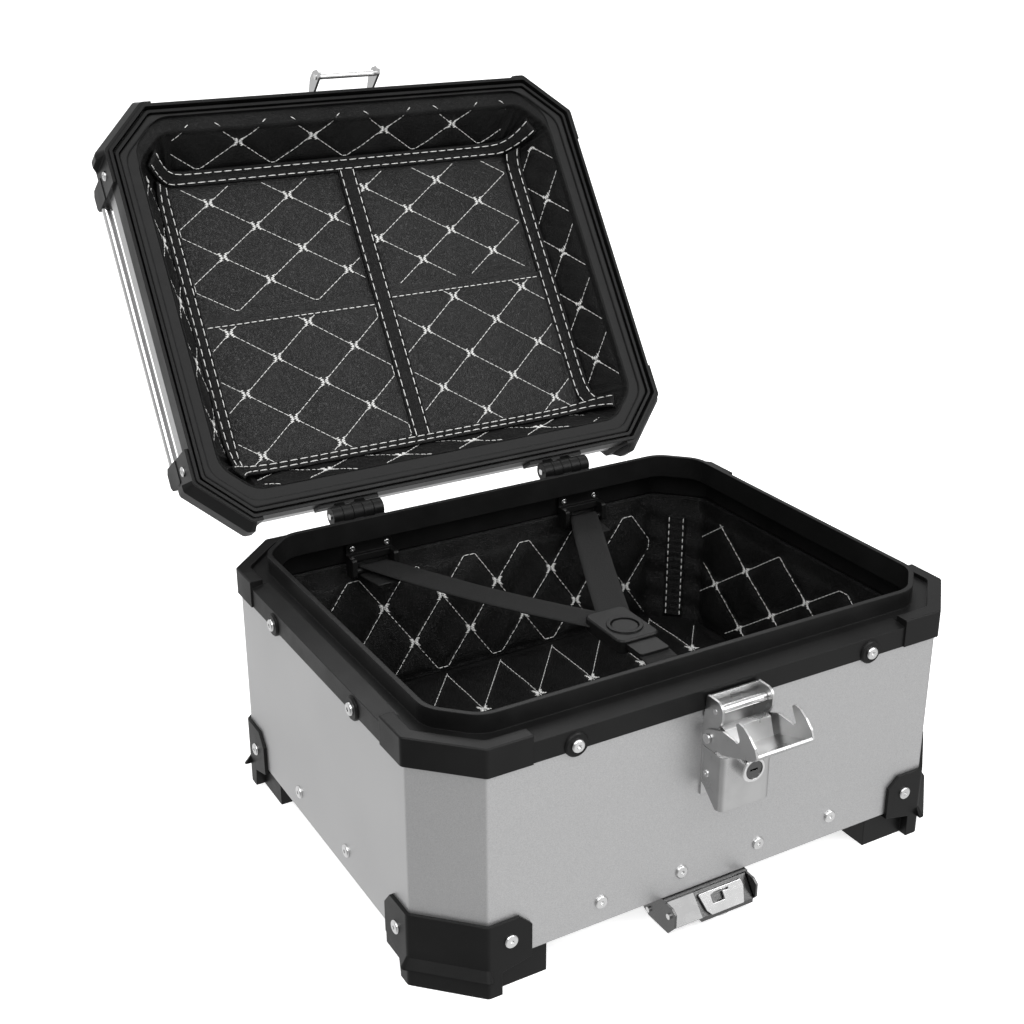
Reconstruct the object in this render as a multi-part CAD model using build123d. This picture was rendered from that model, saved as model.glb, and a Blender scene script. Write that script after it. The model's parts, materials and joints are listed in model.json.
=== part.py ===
from build123d import *
from math import cos, radians, sin
import os

# Hard motorcycle top case with its lid standing open. Millimetres, +Z up, +X right, -Y the front.
# Origin: centre of the rack bolt pattern, on the underside of the box.

# ---- driving dimensions ---------------------------------------------------------------------------
box_x, box_y, box_cut = 215.0, 172.5, 36.4        # half width, half depth, corner cut of the box
sheet = 1.5                                       # aluminium sheet
wall_top = 149.0                                  # top edge of the aluminium wall
skirt_z = 137.5                                   # lower edge of the plastic rim
ledge_z = 152.0                                   # outer edge of the rim's ledge
block_top = 157.7                                 # top of the rim's corner blocks
lip_top = 167.5                                   # top of the raised lip that the seal meets
lip_out, lip_in = -17.5, -21.0                    # the lip's two faces, from the box's outline
liner_out, liner_in = -2.6, -8.0                  # the wall lining's two faces
feet_z = -24.0                                    # plane of the feet

lid_x, lid_y, lid_cut = 215.5, 176.0, 36.9        # the same three sizes for the lid
lid_z = 161.9                                     # lower edge of the closed lid
lid_rim_top = 181.0
bevel_z = 200.0                                   # where the lid's bevel starts
lid_top = 222.0
shell_in = -1.5                                   # lid sheet's outer face, from the lid's outline
seal_z, flange_z = 168.0, 170.6                   # seal's lower face, flange above it
panel_z = 213.6                                   # face of the lid's quilted panel
front_reach = 12.0                                # how far the lid's lining runs over the flange in front

hinge_y, hinge_z = 188.6, 158.3                   # hinge axis, along X
hinge_x, knuckle, knuckle_r, pin_r = 97.5, 8.8, 7.4, 2.5
rail_x, rail_z, rail_r = 214.5, 216.0, 3.9        # side rails of the lid
striker_y, striker_z, striker_r = -184.5, 152.2, 2.6   # bar that the latch pulls on, lid closed
lid_open = 124.0                                  # degrees

front = -box_y                                    # plane of the box's front face
skirt_y = 1.4                                     # how far the rim's skirt stands off the box
bolt_x, bolt_y, bolt_r = 75.0, 50.0, 4.25         # rack bolts, half spacings and radius
fit = 0.05                                        # radial clearance of a running fit
free = 0.4                                        # gap between bodies that move past each other

parts = {}


# ---- outlines and plates --------------------------------------------------------------------------
def outline(offset, round_r=0.0, lid=False, ahead=0.0):
    """Rectangle with 45 degree cut corners, grown or shrunk by offset; its front half is moved ahead."""
    half_x, half_y, cut = (lid_x, lid_y, lid_cut) if lid else (box_x, box_y, box_cut)
    x = half_x + offset
    y = half_y + offset
    c = cut + offset * (2 - 2**0.5)
    rear_half = [(x, y - c), (x - c, y), (c - x, y), (-x, y - c)]
    front_half = [(-a, -b - ahead) for a, b in rear_half]
    face = Polygon(*rear_half, *front_half, align=None)
    return fillet(face.vertices(), round_r) if round_r else face


def slab(offset, low, high, round_r=0.0, lid=False, ahead=0.0):
    return Pos(0, 0, low) * extrude(outline(offset, round_r, lid, ahead), high - low, dir=(0, 0, 1))


def ring(outer, inner, low, high, outer_r=3.0, inner_r=3.0, lid=False):
    return slab(outer, low, high, outer_r, lid) - slab(inner, low - 1, high + 1, inner_r, lid)


def taper(low_offset, low, high_offset, high, round_low, round_high, lid=False):
    """Solid whose outline changes steadily from one offset to another."""
    first = Pos(0, 0, low) * outline(low_offset, round_low, lid)
    last = Pos(0, 0, high) * outline(high_offset, round_high, lid)
    return loft([first, last], ruled=True)


def block(x0, x1, y0, y1, z0, z1):
    return Pos((x0 + x1) / 2, (y0 + y1) / 2, (z0 + z1) / 2) * Box(x1 - x0, y1 - y0, z1 - z0)


def rod(radius, start, end):
    """Round bar between two points."""
    a = Vector(*start)
    b = Vector(*end)
    return Plane(origin=a, z_dir=b - a) * extrude(Circle(radius), (b - a).length)


def across(profile, x0, x1):
    """Plate whose outline is given as (y, z) points, between two X planes."""
    plane = Plane(origin=(x0, 0, 0), x_dir=(0, 1, 0), z_dir=(1, 0, 0))
    return extrude(plane * profile, x1 - x0, dir=(1, 0, 0))


def yz(*points, round_r=0.0):
    face = Polygon(*points, align=None)
    return fillet(face.vertices(), round_r) if round_r else face


def four(solid):
    """The solid of the +X +Y corner, and its copies at the other three."""
    back_left = solid.mirror(Plane.YZ)
    return {
        "rear_right": solid,
        "rear_left": back_left,
        "front_right": solid.mirror(Plane.XZ),
        "front_left": back_left.mirror(Plane.XZ),
    }


def both(solid):
    return [solid, solid.mirror(Plane.YZ)]


def rivet(place, axis, head_r=4.8, head_h=1.8, bore_r=1.3):
    """Domed rivet or button screw with its head on the face at place, looking along axis."""
    plane = Plane(origin=place, z_dir=axis)
    dome = extrude(Circle(head_r), head_h)
    dome = fillet(dome.faces().sort_by(Axis.Z)[-1].edges(), head_h * 0.75)
    return plane * (dome - Pos(0, 0, head_h * 0.35) * extrude(Circle(bore_r), head_h))


def opened(solid):
    return solid.rotate(Axis((0, hinge_y, hinge_z), (1, 0, 0)), -lid_open)


# ---- box ------------------------------------------------------------------------------------------
rack_bolts = [Pos(x, y, -5) * Cylinder(bolt_r, 30) for x in (-bolt_x, bolt_x) for y in (-bolt_y, bolt_y)]


def box_shell():
    tub = slab(0, 0, wall_top, 3.0)
    tub = fillet(tub.faces().sort_by(Axis.Z)[0].edges(), 1.2)
    return tub - slab(-sheet, sheet, wall_top + 1, 2.0) - rack_bolts


def box_rim():
    blocks = slab(2.6, skirt_z, block_top, 4.0) - slab(-7, ledge_z + 2.4, block_top + 1, 8.0)
    blocks = chamfer(blocks.faces().sort_by(Axis.Z)[-1].outer_wire().edges(), 0.8)
    corner = block(148, 260, 108, 260, 0, 300)
    rim = Part() + [blocks & piece for piece in four(corner).values()]
    rim += slab(skirt_y, skirt_z, ledge_z, 4.0)
    rim += taper(skirt_y, ledge_z, -11, ledge_z + 2.4, 4.0, 8.0)
    rim += slab(lip_out, wall_top, lip_top, 24.0)
    rim = rim - slab(0, skirt_z - 1, wall_top, 3.0) - slab(lip_in, wall_top - 1, lip_top + 1, 21.0)
    rim += ring(-1.8, -5.5, 127, wall_top + 0.5, 3.0, 8.0)
    lobe = Cylinder(8.4, 3.2, align=(Align.CENTER, Align.CENTER, Align.MIN))
    lobe = chamfer(lobe.faces().sort_by(Axis.Z)[-1].edges(), 1.0)
    for place, axis in rim_screw_places(0.0):
        rim += Plane(origin=place, z_dir=axis) * lobe
    return rim


def rim_screw_places(stand):
    """The eight screws that hold the rim to the walls, on faces that stand off the box."""
    z = 141.7
    places = []
    for side in (-1, 1):
        places.append(((side * 117.4, -box_y - stand, z), (0, -1, 0)))
        places.append(((side * 45.0, box_y + stand, z), (0, 1, 0)))
        for along in (-66.7, 66.7):
            places.append(((side * (box_x + stand), along, z), (side, 0, 0)))
    return places


def box_rivets():
    z = 16.8
    rivets = []
    for side in (-1, 1):
        for along in (-95.5, -32, 32, 95.5):
            rivets.append(rivet((along, side * box_y, z), (0, side, 0)))
        for along in (-41, 41):
            rivets.append(rivet((side * box_x, along, z + 1), (side, 0, 0)))
    return rivets


def protector():
    """Moulded guard and foot of the rear right corner."""
    thick = 2.6
    rear_flange = Polygon(
        (148.4, -2.4), (148.4, 22), (159, 32), (178, 30.2), (260, 30.2), (260, -60), (170, -60), (170, -7),
        align=None,
    )
    rear_flange = extrude(Plane.XZ * rear_flange, 400, dir=(0, 1, 0))
    side_flange = yz(
        (105.5, -3), (105.5, 20), (114.4, 31), (136, 30.2), (260, 30.2), (260, -60), (132, -60), (125, -9)
    )
    side_flange = across(side_flange, 0, 400)
    wrap = slab(thick, feet_z, 33, 4.0) - slab(0, 0, 40, 3.0) - slab(-4, feet_z - 1, 0, 6.0)
    wrap = wrap & rear_flange & side_flange & block(100, 260, 90, 260, -60, 60)
    fin = taper(thick, -2, thick + 4.5, -9, 4.0, 4.0) - slab(-4, -10, 0, 6.0)
    fin = fin & block(178, 260, 136, 260, -60, 60)
    pad = slab(-4, feet_z, 0, 6.0) & block(134, 260, 92, 260, -60, 60)
    pad = pad - Plane.XY * Pos(134, 92, -12) * Box(52, 46, 40)
    return wrap + fin + pad


def base_fittings():
    doubler = block(-105, 105, -80, 80, sheet, sheet + 2) - rack_bolts
    hook = yz(
        (150, 0), (110, 0), (110, -3), (134, -3), (134, -17), (118, -17), (118, -20), (137, -20), (150, -8)
    )
    return doubler, both(across(hook, 45, 75))


parts["body_shell"] = box_shell()
parts["body_rim"] = box_rim()
parts["rim_screws"] = [rivet(place, axis, 4.6, 2.2, 1.5) for place, axis in rim_screw_places(3.2)]
parts["body_rivets"] = box_rivets()
for name, guard in four(protector()).items():
    parts["corner_protector_" + name] = guard
parts["protector_rivets"] = [
    rivet(place, axis)
    for sx in (-1, 1)
    for sy in (-1, 1)
    for place, axis in (
        ((sx * 163.8, sy * (box_y + 2.6), 15), (0, sy, 0)),
        ((sx * (box_x + 2.6), sy * 122, 11), (sx, 0, 0)),
    )
]
parts["body_liner"] = ring(liner_out, liner_in, 4.5, 126.5, 6.0, 14.0)
parts["liner_floor"] = slab(liner_in - 0.5, 4.5, 10.5, 12.0)
parts["bottom_plate"], parts["docking_hooks"] = base_fittings()


# ---- front latch ----------------------------------------------------------------------------------
sheet_steel = 1.6                                 # stamped steel of the latch parts
plate_y = front - skirt_y - 3.4                   # latch's back plate where it stands over the rim
ear_in, ear_out = 19.0, 20.8                      # the two ears
arm_in, arm_out = 21.4, 23.0                      # the lever's two side plates
web_half = 18.3                                   # the lever's web, which turns between the ears
pivot_y, pivot_z, pivot_r = -181.5, 121.0, 2.2
roller_y, roller_z = -184.5, 141.0
cover_y = front - 22.0                            # front face of the cover
lock_z, lock_r, plug_r = 101.0, 9.0, 6.6
notch_angle = 26.5                                # where the striker bar lies in the lever, from its front
notch_reach = 31.3                                # striker bar's distance from the pivot
notch_half = 3.0


def from_pivot(reach, angle):
    """Point (y, z) at a distance from the lever's pivot, the angle measured up from the front."""
    return pivot_y - reach * cos(radians(angle)), pivot_z + reach * sin(radians(angle))


def pivot_rod(radius, half):
    return rod(radius, (-half, pivot_y, pivot_z), (half, pivot_y, pivot_z))


def latch_base():
    back = yz(
        (front, 74), (front - 1.6, 74), (front - 1.6, 131), (plate_y, 135.5), (plate_y, 148.5),
        (plate_y + 1.6, 148.5), (plate_y + 1.6, 136.5), (front, 132),
    )
    ear = yz(
        (front - 1, 112), (front - 1, 134), (plate_y + 1.6, 149.0), (-192.0, 149.0), (-191.9, 138.0),
        (-190.4, 134.0), (-186.5, 128), (-186.5, 112),
    )
    ear = across(ear, ear_in, ear_out)
    ear = fillet(ear.edges().filter_by(Axis.X).sort_by(Axis.Y)[0], 6.5)
    base = across(back, -ear_out, ear_out) + both(ear)
    return base - pivot_rod(pivot_r, 30) - rod(2.0, (-30, roller_y, roller_z), (30, roller_y, roller_z))


def latch_cover():
    back = front - sheet_steel
    outside = block(-20.4, 20.4, cover_y, back, 71, 111)
    outside = fillet(outside.edges().filter_by(Axis.Z).sort_by(Axis.Y)[:2], 4.5)
    inside = block(-18.8, 18.8, cover_y + sheet_steel, back + 1, 60, 109.4)
    inside = fillet(inside.edges().filter_by(Axis.Z).sort_by(Axis.Y)[:2], 3.0)
    scoop = yz(
        (back + 1, 60), (back + 1, 84), (front - 4, 82), (front - 16, 71), (cover_y - 1, 69.5),
        (cover_y - 1, 60),
    )
    cover = outside - inside - across(scoop, -30, 30)
    return cover - rod(lock_r - 1, (0, cover_y - 5, lock_z), (0, cover_y + 5, lock_z))


def lock():
    """Fixed barrel with a flange in front of the cover, and the plug that the key turns in it."""
    face = cover_y - 7
    barrel = rod(lock_r, (0, face, lock_z), (0, cover_y, lock_z))
    barrel += rod(lock_r - 1, (0, cover_y, lock_z), (0, cover_y + 12, lock_z))
    barrel = chamfer(barrel.edges().filter_by(GeomType.CIRCLE).sort_by(Axis.Y)[0], 0.7)
    barrel -= rod(plug_r + fit, (0, face - 1, lock_z), (0, cover_y + 9, lock_z))
    plug = rod(plug_r, (0, face + 0.6, lock_z), (0, cover_y + 8.6, lock_z))
    return barrel, plug - Pos(0, face + 0.6, lock_z) * Box(6.0, 5.0, 1.5)


def latch_lever():
    """Pan with two hooked side plates that pull the lid's bar down. Drawn lying open, as the case stands."""
    arm = Polygon(
        (-178, 116.5), (-178, 125.5), (-184, 128.5), (-195, 132.8), from_pivot(28.5, 24),
        from_pivot(34, 24), from_pivot(35.5, 42), from_pivot(38.5, 42), from_pivot(42, 36.5),
        from_pivot(45, 28.5), (-227, 137), (-229.5, 131.5), (-226, 127.5), (-196, 116.2), align=None,
    )
    arm = fillet(arm.vertices().sort_by(Axis.Y)[-3:], 1.2)
    arm = across(arm, arm_in, arm_out)
    sweep = pivot_rod(notch_reach + notch_half, 40) - pivot_rod(notch_reach - notch_half, 40)
    above = Pos(0, pivot_y, pivot_z) * Rot(-notch_angle, 0, 0) * Box(90, 120, 60, align=Align.CENTER)
    above = Pos(0, 30 * sin(radians(notch_angle)), 30 * cos(radians(notch_angle))) * above
    notch_y, notch_z = from_pivot(notch_reach, notch_angle)
    arm -= (sweep & above) + rod(notch_half, (10, notch_y, notch_z), (40, notch_y, notch_z))
    pan = yz(
        (-196, 116.2), (-227, 127.8), (-229.5, 131.5), (-228.2, 132.6), (-226, 129.6), (-196, 118.2)
    )
    web = yz(
        (-196.6, 117.2), (-192.2, 130.6), (-187.4, 131.7), (-187.2, 130.1), (-191.0, 129.1), (-194.6, 117.6)
    )
    lever = across(pan, -arm_in - 0.5, arm_in + 0.5) + across(web, -web_half, web_half) + both(arm)
    return lever - pivot_rod(pivot_r + fit, 30)


parts["latch_base"] = latch_base()
roller = rod(2.0, (-ear_out - 0.3, roller_y, roller_z), (ear_out + 0.3, roller_y, roller_z))
parts["latch_roller"] = roller + rod(
    3.0, (-ear_in + 0.3, roller_y, roller_z), (ear_in - 0.3, roller_y, roller_z)
)
pivot_head = rod(3.4, (arm_out + 0.4, pivot_y, pivot_z), (arm_out + 1.8, pivot_y, pivot_z))
pivot_pin = rod(pivot_r, (ear_in - 1, pivot_y, pivot_z), (arm_out + 0.4, pivot_y, pivot_z))
parts["latch_pivots"] = both(pivot_head + pivot_pin)
parts["latch_cover"] = latch_cover()
parts["lock_barrel"], parts["lock_plug"] = lock()
parts["latch_lever"] = latch_lever()
parts["cover_screws"] = [
    rivet((side * 20.4, front - 6, 92.5), (side, 0, 0), 2.6, 1.0, 0.8)
    for side in (-1, 1)
]


# ---- quick-release latch under the front edge -----------------------------------------------------
cheek_x, cheek_right = -45.0, 20.6                # inner faces of the bracket's two cheeks
housing_left, housing_right, plate_x = -23.0, 20.0, -3.6   # housing's two ends, middle of its finger plate
knob_x, knob_y, knob_r = -2.0, -174.0, 9.0
release_y, release_z, release_r = -177.6, -4.1, 1.2   # axis that the finger plate swings about
base_pins = [
    rod(2.0, (cheek_x - 3.0, y, z), (cheek_x + 2.0, y, z))
    for y, z in ((-158.0, -17.5), (-181.0, -8.0))
]


def release_axis(radius, half):
    return rod(radius, (plate_x - half, release_y, release_z), (plate_x + half, release_y, release_z))


def base_latch():
    cheek = yz((-150, -1.2), (-150, -19), (-158, -22.5), (-180, -22.5), (-187, -14), (-187, -4), (-183, -1.2))
    bracket = block(cheek_x - 1.6, cheek_right + 1.6, -175.2, -150, -1.2, 0)
    bracket += across(cheek, cheek_x - 1.6, cheek_x)
    bracket += across(cheek, cheek_right, cheek_right + 1.6)
    apron = yz((-174, -1.2), (-186, -15), (-187.5, -14), (-175.5, -1.2))
    bracket += across(apron, cheek_x - 0.5, housing_left - 0.6)
    housing = yz((-160, -1.4), (-175.2, -1.4), (-185.5, -16), (-185.5, -19), (-160, -19))
    housing = across(housing, housing_left, housing_right)
    housing = fillet(housing.edges().filter_by(Axis.X).sort_by(Axis.Y)[:1], 1.0)
    housing -= block(-20, 14, -172, -158, -17, -1)
    housing -= rod(knob_r + fit, (knob_x, knob_y, -30), (knob_x, knob_y, -10))
    housing -= release_axis(release_r + 0.3, 17)
    return bracket - base_pins, housing


def release_plate():
    """Finger plate that lies on the housing's slope and swings out about its top edge, with its window."""
    slope = Plane(origin=(0, -175.8, -1.2), x_dir=(1, 0, 0), z_dir=(0, -14.6, 10.3))
    shape = Polygon((-18, -2.2), (17.5, -2.2), (18, -7), (14.5, -17.5), (-12, -17.5), (-15, -14), align=None)
    shape = fillet(shape.vertices(), 1.0)
    window = Polygon((-9, -11), (-9, -5), (-4, -3.5), (6, -3.5), (6, -5.5), (1, -5.5), (1, -11), align=None)
    plate = Pos(plate_x, -0.25, 0.18) * extrude(slope * (shape - window), 1.5, dir=slope.z_dir)
    return plate + release_axis(release_r, 16)


parts["base_latch_bracket"], parts["base_latch_housing"] = base_latch()
parts["base_latch_plate"] = release_plate()
knob = rod(knob_r, (knob_x, knob_y, -23.4), (knob_x, knob_y, -17.2))
knob = chamfer(knob.edges().filter_by(GeomType.CIRCLE).sort_by(Axis.Z)[0], 0.8)
parts["base_latch_knob"] = knob - Pos(knob_x, knob_y, -23.4) * Box(7, 1.6, 5)
parts["base_latch_pins"] = base_pins


# ---- luggage straps -------------------------------------------------------------------------------
strap_x = 98.0
inner_y = box_y - 5.5                             # inner face of the rim's downturned skirt
bar_out, bar_z, bar_r = 11.0, 122.5, 2.4          # bar of a strap bracket, out from the wall
bar_y = inner_y - bar_out
buckle_y, buckle_z = -52.0, 133.0
strap_w, strap_t = 25.0, 1.4
button_r = 9.9


def bracket():
    """Moulded loop on a wall at y = 0: back plate, bridge, two arms and the bar, towards +Y."""
    plate = block(-20, 20, 0, 3, 128, 143)
    plate = fillet(plate.edges().filter_by(Axis.Y).sort_by(Axis.Z)[-2:], 3.0)
    arm = block(16, 20, 3, 15, 118, 134)
    arm = fillet(arm.edges().filter_by(Axis.X).sort_by(Axis.Y)[-2:], 2.5)
    bridge = block(-18, 18, 3, 7, 129, 134)
    return plate + bridge + both(arm) + rod(bar_r, (-17, bar_out, bar_z), (17, bar_out, bar_z))


def webbing(start, end):
    """Straight flat strap between two points."""
    a = Vector(*start)
    run = Vector(*end) - a
    side = run.cross(Vector(0, 0, 1)).normalized()
    return Plane(origin=a, x_dir=side, z_dir=run) * extrude(Rectangle(strap_w, strap_t), run.length)


def buckle():
    """Centre buckle: housing with a round collar, the release button in it and the front strap's tongue."""
    body = block(-17, 17, buckle_y - 20, buckle_y + 28, buckle_z - 5, buckle_z + 5)
    body = fillet(body.edges().filter_by(Axis.Z), 5.0)
    body = chamfer(body.faces().sort_by(Axis.Z)[-1].edges(), 1.2)
    body -= Pos(0, buckle_y, buckle_z) * Cylinder(button_r + free, 12)
    body -= block(-14, 14, buckle_y + 12, buckle_y + 30, buckle_z - 2, buckle_z + 2)
    body -= block(-12.2, 12.2, buckle_y - 22, buckle_y - 9, buckle_z - 2.6, buckle_z + 2.6)
    body += Pos(0, buckle_y, buckle_z - 4.4) * Cylinder(button_r + 0.6, 1.2)
    body += Pos(0, buckle_y, buckle_z + 5.4) * (Cylinder(13.0, 1.4) - Cylinder(button_r + free, 3))
    button = Pos(0, buckle_y, buckle_z + 2.2) * Cylinder(button_r, 6.0)
    button = fillet(button.faces().sort_by(Axis.Z)[-1].edges(), 1.0)
    tongue = block(-12, 12, buckle_y - 38, buckle_y - 10.8, buckle_z - 2.4, buckle_z + 2.4)
    return body, button, fillet(tongue.edges().filter_by(Axis.Z), 2.0)


rear_bracket = Pos(0, inner_y, 0) * Rot(0, 0, 180) * bracket()
for name, side in (("left", -1), ("right", 1)):
    parts["strap_bracket_" + name] = Pos(side * strap_x, 0, 0) * rear_bracket
    near_bar = (side * 93.5, bar_y - 9.0, bar_z)
    near_buckle = (side * 14.0, buckle_y + 33.0, buckle_z)
    parts["strap_" + name] = webbing(near_bar, near_buckle)
parts["strap_bracket_front"] = Pos(0, -inner_y, 0) * bracket()
parts["strap_front"] = webbing((0, buckle_y - 38.6, buckle_z), (0, -bar_y + 3.4, bar_z))
parts["bracket_screws"] = [
    rivet((x + dx, side * (inner_y - 3), 138.5), (0, -side, 0), 2.8, 1.4, 0.9)
    for x, side in ((-strap_x, 1), (strap_x, 1), (0, -1))
    for dx in (-15, 15)
]
parts["buckle_body"], parts["buckle_button"], parts["buckle_tongue"] = buckle()


# ---- hinges ---------------------------------------------------------------------------------------
leaf_t = 3.2


def knuckles(first):
    """X ranges of one leaf's knuckles: every second one of the five."""
    start = hinge_x - 2.5 * knuckle
    lows = [start + index * knuckle for index in range(first, 5, 2)]
    return [(low + free / 2, low + knuckle - free / 2) for low in lows]


def leaf(plate, arm, first):
    """Leaf of the right hinge: its plate, and an arm and a knuckle for each of its places."""
    for x0, x1 in knuckles(first):
        plate += across(arm, x0, x1) + rod(knuckle_r, (x0, hinge_y, hinge_z), (x1, hinge_y, hinge_z))
    return plate


def hinge_bore(radius):
    return rod(radius, (0, hinge_y, hinge_z), (300, hinge_y, hinge_z))


rim_face = box_y + skirt_y
body_plate = block(hinge_x - 22, hinge_x + 22, rim_face, rim_face + leaf_t, 137, 151)
body_arm = yz(
    (rim_face + 1, 139), (rim_face + 1, 151), (hinge_y - 4, 158), (hinge_y + 6.5, 155), (hinge_y, 149)
)
lid_plate = block(hinge_x - 26, hinge_x + 26, lid_y, lid_y + leaf_t, 166.5, 180)
lid_arm = yz(
    (lid_y + 1, 167), (lid_y + 1, 178), (hinge_y + 6.5, 161.5), (hinge_y + 2, 155), (hinge_y - 6, 161)
)
leaf_body = leaf(body_plate, body_arm, 0) - hinge_bore(pin_r)
leaf_lid = opened(leaf(lid_plate, lid_arm, 1) - hinge_bore(pin_r + fit))
pin_end = 2.5 * knuckle + 0.8
pin = rod(pin_r, (hinge_x - pin_end, hinge_y, hinge_z), (hinge_x + pin_end, hinge_y, hinge_z))
for name, turn in (("right", 0), ("left", 1)):
    parts["hinge_leaf_body_" + name] = both(leaf_body)[turn]
    parts["hinge_leaf_lid_" + name] = both(leaf_lid)[turn]
    parts["hinge_pin_" + name] = both(pin)[turn]


# ---- lid, drawn closed and then turned open about the hinge ---------------------------------------
def lid_envelope(offset):
    """Outer surface of the lid's sheet, shrunk by offset."""
    drop = offset * 0.4
    straight = slab(shell_in + offset, lid_rim_top - 9, bevel_z + drop + 0.01, 4.0, True)
    top_offset = shell_in - 22 + offset * 0.6
    bevel = taper(shell_in + offset, bevel_z + drop, top_offset, lid_top + offset, 4.0, 6.0, True)
    return straight + bevel


def lid_shell():
    return lid_envelope(0) - lid_envelope(-sheet) - block(-300, 300, -300, 300, 0, flange_z + 2.4)


def lid_rim():
    wall = ring(0, -2.6, lid_z, lid_rim_top, 4.0, 3.0, True)
    wall = chamfer(wall.faces().sort_by(Axis.Z)[-1].outer_wire().edges(), 0.8)
    channel = ring(-4.8, -7.4, lid_z + 2.2, flange_z + 1, 6.0, 5.0, True)
    flange = ring(-1, -22.5, flange_z, flange_z + 2.4, 3.0, 20.0, True)
    return wall + channel + flange - lid_envelope(0)


def lid_corner():
    """Corner cap of the lid's rear right corner, with the socket of the side rail."""
    core = slab(0, 0, lid_rim_top, 3.9, True) + lid_envelope(0)
    corner = block(171, 260, 112, 260, 0, 300)
    cap = slab(2.8, 164, 205, 5.0, True) + taper(2.8, 205, -4.0, 213, 5.0, 5.0, True)
    bulge = taper(2.8, 166, 8.5, 176, 5.0, 5.0, True) + slab(8.5, 176, 190, 5.0, True)
    bulge += taper(8.5, 190, 2.8, 203, 5.0, 5.0, True)
    bulge = bulge & block(176, 300, 137, 300, 0, 300)
    socket = yz((112, 196), (112, 222), (116, 226.5), (127, 226.5), (131, 222), (131, 196))
    socket = across(socket, 207.5, 219)
    socket = fillet(socket.edges().filter_by(Axis.X), 1.5)
    piece = (cap & corner) + bulge + socket - core
    return piece - rod(rail_r, (rail_x, 0, rail_z), (rail_x, 120, rail_z))


parts["lid_shell"] = opened(lid_shell())
parts["lid_rim"] = opened(lid_rim())
for name, cap in four(lid_corner()).items():
    parts["lid_corner_" + name] = opened(cap)
for name, side in (("left", -1), ("right", 1)):
    x = side * rail_x
    parts["side_rail_" + name] = opened(rod(rail_r, (x, -120, rail_z), (x, 120, rail_z)))
parts["lid_screws"] = [
    opened(rivet((sx * (lid_x + 2.8), sy * 125.4, 181.5), (sx, 0, 0), 4.2, 1.8, 1.4))
    for sx in (-1, 1)
    for sy in (-1, 1)
]
def lid_seal():
    """Soft seal under the flange: a thick bead outside and a flat foot inside, narrower along the front."""
    bead = slab(-7.8, seal_z - 2.4, flange_z, 8.0, True) - slab(-13.6, seal_z - 3, flange_z + 1, 20.0, True)
    low = bead.faces().sort_by(Axis.Z)[0]
    bead = fillet(low.edges(), 2.2)
    foot = slab(-13.0, seal_z, flange_z, 20.0, True) - slab(-22.5, seal_z - 1, flange_z + 1, 24.0, True)
    foot = chamfer(foot.faces().sort_by(Axis.Z)[0].inner_wires()[0].edges(), 1.0)
    return (bead + foot) - slab(-22.5, seal_z - 3, flange_z + 1, 24.0, True, front_reach)


def lid_lining():
    """Sloped wall lining, and the skirt that carries it over the flange to the seal along the front."""
    walls = taper(-19, flange_z + 3.0, -41, panel_z, 22.0, 16.0, True)
    walls -= taper(-23, flange_z + 2.9, -45, panel_z + 0.1, 22.0, 14.0, True)
    skirt = slab(-22.7, seal_z + 0.4, flange_z - 0.1, 24.0, True, front_reach)
    collar = slab(-22.7, flange_z - 1.0, flange_z + 3.6, 22.0, True)
    return walls + (skirt + collar - slab(-24.4, seal_z, flange_z + 4, 22.0, True))


parts["lid_seal"] = opened(lid_seal())
parts["lid_liner"] = opened(lid_lining())
parts["lid_panel"] = opened(slab(-41, panel_z + 0.4, panel_z + 5.0, 16.0, True))


def striker():
    """Bracket on the lid's front edge that carries the bar the latch pulls on."""
    y = -lid_y
    ear = yz(
        (y, 178), (y - 3, 178), (-189.5, 164), (-191, 154), (-188, 146), (-184, 143.5), (-180.5, 146),
        (y - 0.4, 166),
    )
    bracket = block(-28.6, 28.6, y - 1.6, y, 165, 178) + both(across(ear, 26.6, 28.6))
    return bracket - rod(striker_r, (-40, striker_y, striker_z), (40, striker_y, striker_z))


striker_bar = rod(striker_r, (-29.4, striker_y, striker_z), (29.4, striker_y, striker_z))
parts["striker_bracket"] = opened(striker())
parts["striker_bar"] = opened(striker_bar)


# ---- write one file per piece ---------------------------------------------------------------------
os.makedirs("parts", exist_ok=True)
for name, shape in parts.items():
    solids = shape if isinstance(shape, list) else [shape]
    export_step(Compound(children=[s for item in solids for s in item.solids()]), f"parts/{name}.step")
print(len(parts), "nodes")
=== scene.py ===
import json
from math import atan2, ceil, cos, exp, floor, hypot, log, pi, radians, sin, tan

import bpy
from mathutils import Matrix, Vector


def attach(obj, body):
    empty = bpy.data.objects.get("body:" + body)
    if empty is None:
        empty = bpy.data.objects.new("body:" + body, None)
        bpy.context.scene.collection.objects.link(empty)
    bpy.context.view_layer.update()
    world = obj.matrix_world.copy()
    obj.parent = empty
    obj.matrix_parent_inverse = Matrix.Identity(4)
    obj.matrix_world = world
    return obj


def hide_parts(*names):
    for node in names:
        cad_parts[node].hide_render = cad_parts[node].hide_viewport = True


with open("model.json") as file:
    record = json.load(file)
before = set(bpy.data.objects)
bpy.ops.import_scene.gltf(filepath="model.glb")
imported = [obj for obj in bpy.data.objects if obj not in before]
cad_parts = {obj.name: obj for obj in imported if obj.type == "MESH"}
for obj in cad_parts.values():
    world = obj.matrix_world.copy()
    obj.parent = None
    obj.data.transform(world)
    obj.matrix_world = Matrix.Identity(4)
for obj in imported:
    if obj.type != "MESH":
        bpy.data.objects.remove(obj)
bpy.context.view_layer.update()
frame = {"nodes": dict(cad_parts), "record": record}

# Looks of a hard motorcycle top case that stands open: metals and moulded plastic on the CAD nodes, and
# quilted leatherette linings, thread, seam tapes and webbing as meshes of their own. Metres throughout.

MM = 0.001

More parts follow.
